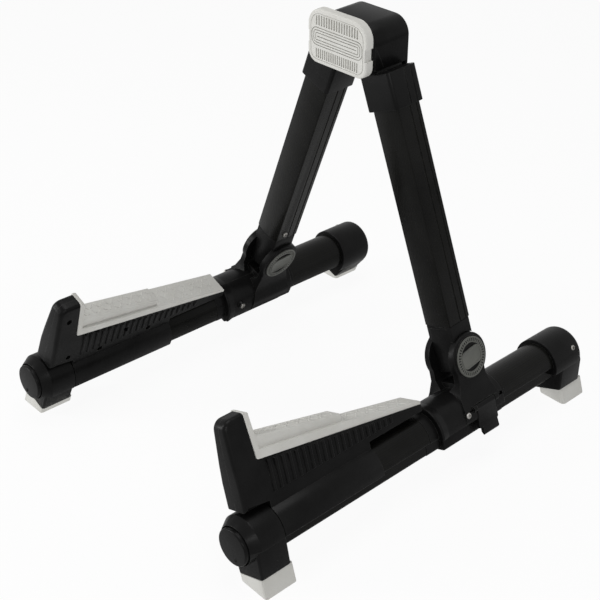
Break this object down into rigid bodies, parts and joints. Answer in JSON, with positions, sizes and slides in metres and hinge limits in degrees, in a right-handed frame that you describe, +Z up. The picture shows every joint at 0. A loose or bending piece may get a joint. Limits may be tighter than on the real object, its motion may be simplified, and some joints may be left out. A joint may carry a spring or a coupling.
{
  "type": "folding guitar stand",
  "caption": "Folding A-frame guitar stand: two hooked, padded cradles on sliding leg tubes, uprights that fold on clevises, and a padded head that hinges them together.",
  "frame": {"origin": "floor level under the middle of the stand, centred in width and in length", "axes": "+Z up, -Y towards the hooks at the front where the guitar is set down, +X to the stand's right in the picture"},
  "size_m": [0.2668, 0.336, 0.2894],
  "materials": {
    "anodised": "black anodised, fine satin",
    "moulded": "satin black moulding",
    "rubber": "warm light grey soft rubber",
    "bright_screw": "bright plated",
    "plain_steel": "plain steel",
    "badge": "grey cap with a bare plaque"
  },
  "bodies": {
    "head": {"head_cover": "moulded", "head_body": "moulded", "head_pad": "rubber", "head_screws": "bright_screw", "hinge_pin_l": "plain_steel", "hinge_pin_r": "plain_steel"},
    "upright_l": {"upright_tube_l": "anodised", "knuckle_l": "moulded", "top_socket_l": "moulded", "upright_screw_l": "bright_screw"},
    "clevis_l": {"clevis_outer_l": "moulded", "clevis_inner_l": "moulded", "clevis_screws_l": "bright_screw", "pivot_bolt_l": "plain_steel", "pivot_nut_l": "plain_steel", "badge_caps_l": "badge", "lever_pin_l": "plain_steel", "lever_spring_l": "plain_steel"},
    "leg_l": {"base_tube_l": "anodised", "front_cap_l": "moulded", "front_plug_l": "moulded", "front_foot_l": "rubber", "rear_cap_l": "moulded", "rear_foot_l": "rubber", "cap_screws_l": "bright_screw", "cradle_outer_l": "moulded", "cradle_inner_l": "moulded", "cradle_pad_l": "rubber", "cradle_screws_l": "plain_steel"},
    "lever_l": {"lock_lever_l": "moulded"},
    "upright_r": {"upright_tube_r": "anodised", "knuckle_r": "moulded", "top_socket_r": "moulded", "upright_screw_r": "bright_screw"},
    "clevis_r": {"clevis_outer_r": "moulded", "clevis_inner_r": "moulded", "clevis_screws_r": "bright_screw", "pivot_bolt_r": "plain_steel", "pivot_nut_r": "plain_steel", "badge_caps_r": "badge", "lever_pin_r": "plain_steel", "lever_spring_r": "plain_steel"},
    "leg_r": {"base_tube_r": "anodised", "front_cap_r": "moulded", "front_plug_r": "moulded", "front_foot_r": "rubber", "rear_cap_r": "moulded", "rear_foot_r": "rubber", "cap_screws_r": "bright_screw", "cradle_outer_r": "moulded", "cradle_inner_r": "moulded", "cradle_pad_r": "rubber", "cradle_screws_r": "plain_steel"},
    "lever_r": {"lock_lever_r": "moulded"}
  },
  "joints": [
    {"name": "spread_l", "type": "hinge", "parent": "head", "child": "upright_l", "pos_m": [-0.0144, 0.03401, 0.2764], "axis": [0, -1, 0], "range_deg": [0, 18.4]},
    {"name": "fold_l", "type": "hinge", "parent": "upright_l", "child": "clevis_l", "pos_m": [-0.0954, 0.0466, 0.06756], "axis": [0.9323, 0, -0.3616], "range_deg": [0, 90]},
    {"name": "slide_l", "type": "slide", "parent": "clevis_l", "child": "leg_l", "axis": [0, -1, 0], "range_m": [0, 0.05]},
    {"name": "lever_l", "type": "hinge", "parent": "clevis_l", "child": "lever_l", "pos_m": [-0.1245, 0.0471, 0.04259], "axis": [0, 1, 0], "range_deg": [0, 15], "stiffness_Nm_per_rad": 0.05, "springref_deg": -11.46},
    {"name": "spread_r", "type": "hinge", "parent": "head", "child": "upright_r", "pos_m": [0.0144, 0.03401, 0.2764], "axis": [0, 1, 0], "range_deg": [0, 18.4]},
    {"name": "fold_r", "type": "hinge", "parent": "upright_r", "child": "clevis_r", "pos_m": [0.0954, 0.0466, 0.06756], "axis": [0.9323, 0, 0.3616], "range_deg": [0, 90]},
    {"name": "slide_r", "type": "slide", "parent": "clevis_r", "child": "leg_r", "axis": [0, -1, 0], "range_m": [0, 0.05]},
    {"name": "lever_r", "type": "hinge", "parent": "clevis_r", "child": "lever_r", "pos_m": [0.1245, 0.0471, 0.04259], "axis": [0, -1, 0], "range_deg": [0, 15], "stiffness_Nm_per_rad": 0.05, "springref_deg": -11.46}
  ]
}
